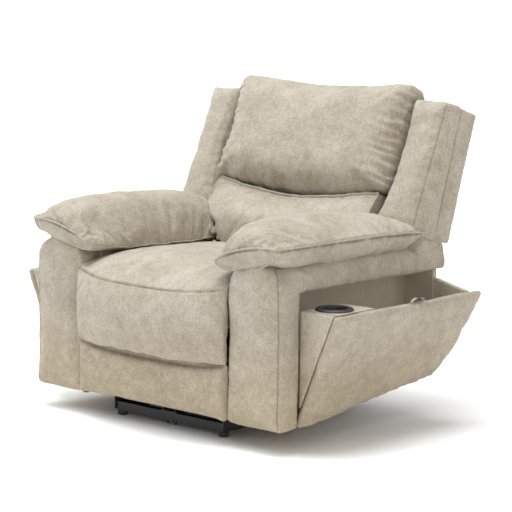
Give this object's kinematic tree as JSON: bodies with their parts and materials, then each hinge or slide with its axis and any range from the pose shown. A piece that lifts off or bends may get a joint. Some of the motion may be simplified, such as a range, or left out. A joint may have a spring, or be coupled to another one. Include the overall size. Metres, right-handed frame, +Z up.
{
  "type": "recliner armchair",
  "caption": "Power recliner armchair with tilt-out storage arms and cup holders, an independent leg rest linked to the reclining winged back, and push-button switches.",
  "frame": {"origin": "on the floor, in the middle of the outline seen from above, with both arm bins open and the back upright", "axes": "+X to the chair's right as seen from the front, across both arms; -Y is the way the sitter faces; +Z up"},
  "size_m": [1.3488, 1.0267, 1.0527],
  "materials": {
    "taupe_suede": "mottled taupe brushed faux suede over foam or timber",
    "lining_cloth": "plain taupe lining cloth on board, inside the storage bins",
    "timber": "raw furniture timber and board, hidden under the upholstery",
    "black_steel": "black enamelled pressed and tube steel",
    "zinc_steel": "bright zinc-plated spring wire and hinge pin",
    "black_plastic": "moulded black plastic"
  },
  "bodies": {
    "chair_base": {"base_frame": "black_steel", "base_foot_front_left": "black_plastic", "base_foot_front_right": "black_plastic", "base_foot_rear_left": "black_plastic", "base_foot_rear_right": "black_plastic", "motor_bracket": "black_steel", "side_plate_left": "black_steel", "side_plate_right": "black_steel", "seat_frame": "timber", "seat_springs": "zinc_steel", "seat_cushion": "taupe_suede", "rear_panel": "taupe_suede", "power_inlet": "black_plastic", "arm_shell_left": "taupe_suede", "arm_shell_right": "taupe_suede", "arm_front_left": "taupe_suede", "arm_front_right": "taupe_suede", "arm_roll_left": "taupe_suede", "arm_roll_right": "taupe_suede", "arm_pillow_left": "taupe_suede", "arm_pillow_right": "taupe_suede", "arm_glide_left": "black_plastic", "arm_glide_right": "black_plastic", "bin_hinge_left": "zinc_steel", "bin_hinge_right": "zinc_steel", "lift_motor": "black_plastic", "switch_plate": "black_plastic"},
    "back": {"back_frame": "timber", "back_springs": "zinc_steel", "back_shell": "taupe_suede", "wing_left": "taupe_suede", "wing_right": "taupe_suede", "head_cushion": "taupe_suede", "lumbar_cushion": "taupe_suede", "back_bracket_left": "black_steel", "back_bracket_right": "black_steel"},
    "leg_rest": {"leg_rest_board": "timber", "leg_rest_pad": "taupe_suede", "leg_rest_apron": "taupe_suede"},
    "drive": {"drive_tube": "black_steel", "drive_link_left": "black_steel", "drive_link_right": "black_steel"},
    "front_links": {"front_link_left": "black_steel", "front_link_right": "black_steel"},
    "carriage": {"motor_carriage": "black_plastic"},
    "bin_left": {"bin_front_left": "taupe_suede", "bin_pull_left": "taupe_suede", "bin_tray_left": "lining_cloth", "bin_shelf_left": "lining_cloth", "cup_holder_left": "black_plastic"},
    "bin_right": {"bin_front_right": "taupe_suede", "bin_pull_right": "taupe_suede", "bin_tray_right": "lining_cloth", "bin_shelf_right": "lining_cloth", "cup_holder_right": "black_plastic"},
    "button_recline": {"button_recline": "black_plastic"},
    "button_upright": {"button_upright": "black_plastic"}
  },
  "joints": [
    {"name": "back_recline", "type": "hinge", "parent": "chair_base", "child": "back", "pos_m": [0, 0.25157, 0.36], "axis": [-1, 0, 0], "range_deg": [0, 35]},
    {"name": "leg_rest_lift", "type": "hinge", "parent": "chair_base", "child": "leg_rest", "pos_m": [0, -0.44843, 0.468], "axis": [-1, 0, 0], "range_deg": [0, 85]},
    {"name": "drive_turn", "type": "hinge", "parent": "chair_base", "child": "drive", "pos_m": [0, -0.20843, 0.335], "axis": [-1, 0, 0], "range_deg": [0, 85.01]},
    {"name": "link_fold", "type": "hinge", "parent": "drive", "child": "front_links", "pos_m": [0, -0.15843, 0.142], "axis": [-1, 0, 0], "range_deg": [-85.01, 0]},
    {"name": "carriage_travel", "type": "slide", "parent": "chair_base", "child": "carriage", "axis": [0, -0.9511, -0.309], "range_m": [0, 0.1352]},
    {"name": "bin_right_tilt", "type": "hinge", "parent": "chair_base", "child": "bin_right", "pos_m": [0.5035, -0.04843, 0.088], "axis": [0, -1, 0], "range_deg": [0, 23.4]},
    {"name": "bin_left_tilt", "type": "hinge", "parent": "chair_base", "child": "bin_left", "pos_m": [-0.5035, -0.04843, 0.088], "axis": [0, 1, 0], "range_deg": [0, 23.4]},
    {"name": "recline_push", "type": "slide", "parent": "chair_base", "child": "button_recline", "axis": [1, 0, 0], "range_m": [0, 0.0025], "stiffness_N_per_m": 300, "springref_m": -0.002},
    {"name": "upright_push", "type": "slide", "parent": "chair_base", "child": "button_upright", "axis": [1, 0, 0], "range_m": [0, 0.0025], "stiffness_N_per_m": 300, "springref_m": -0.002}
  ],
  "couplings": [
    {"joint": "leg_rest_lift", "follows": "back_recline", "ratio": 2.4286},
    {"joint": "drive_turn", "follows": "back_recline", "ratio": 2.4286},
    {"joint": "link_fold", "follows": "back_recline", "ratio": -2.4286},
    {"joint": "carriage_travel", "follows": "back_recline", "m_per_rad": 0.22119}
  ]
}
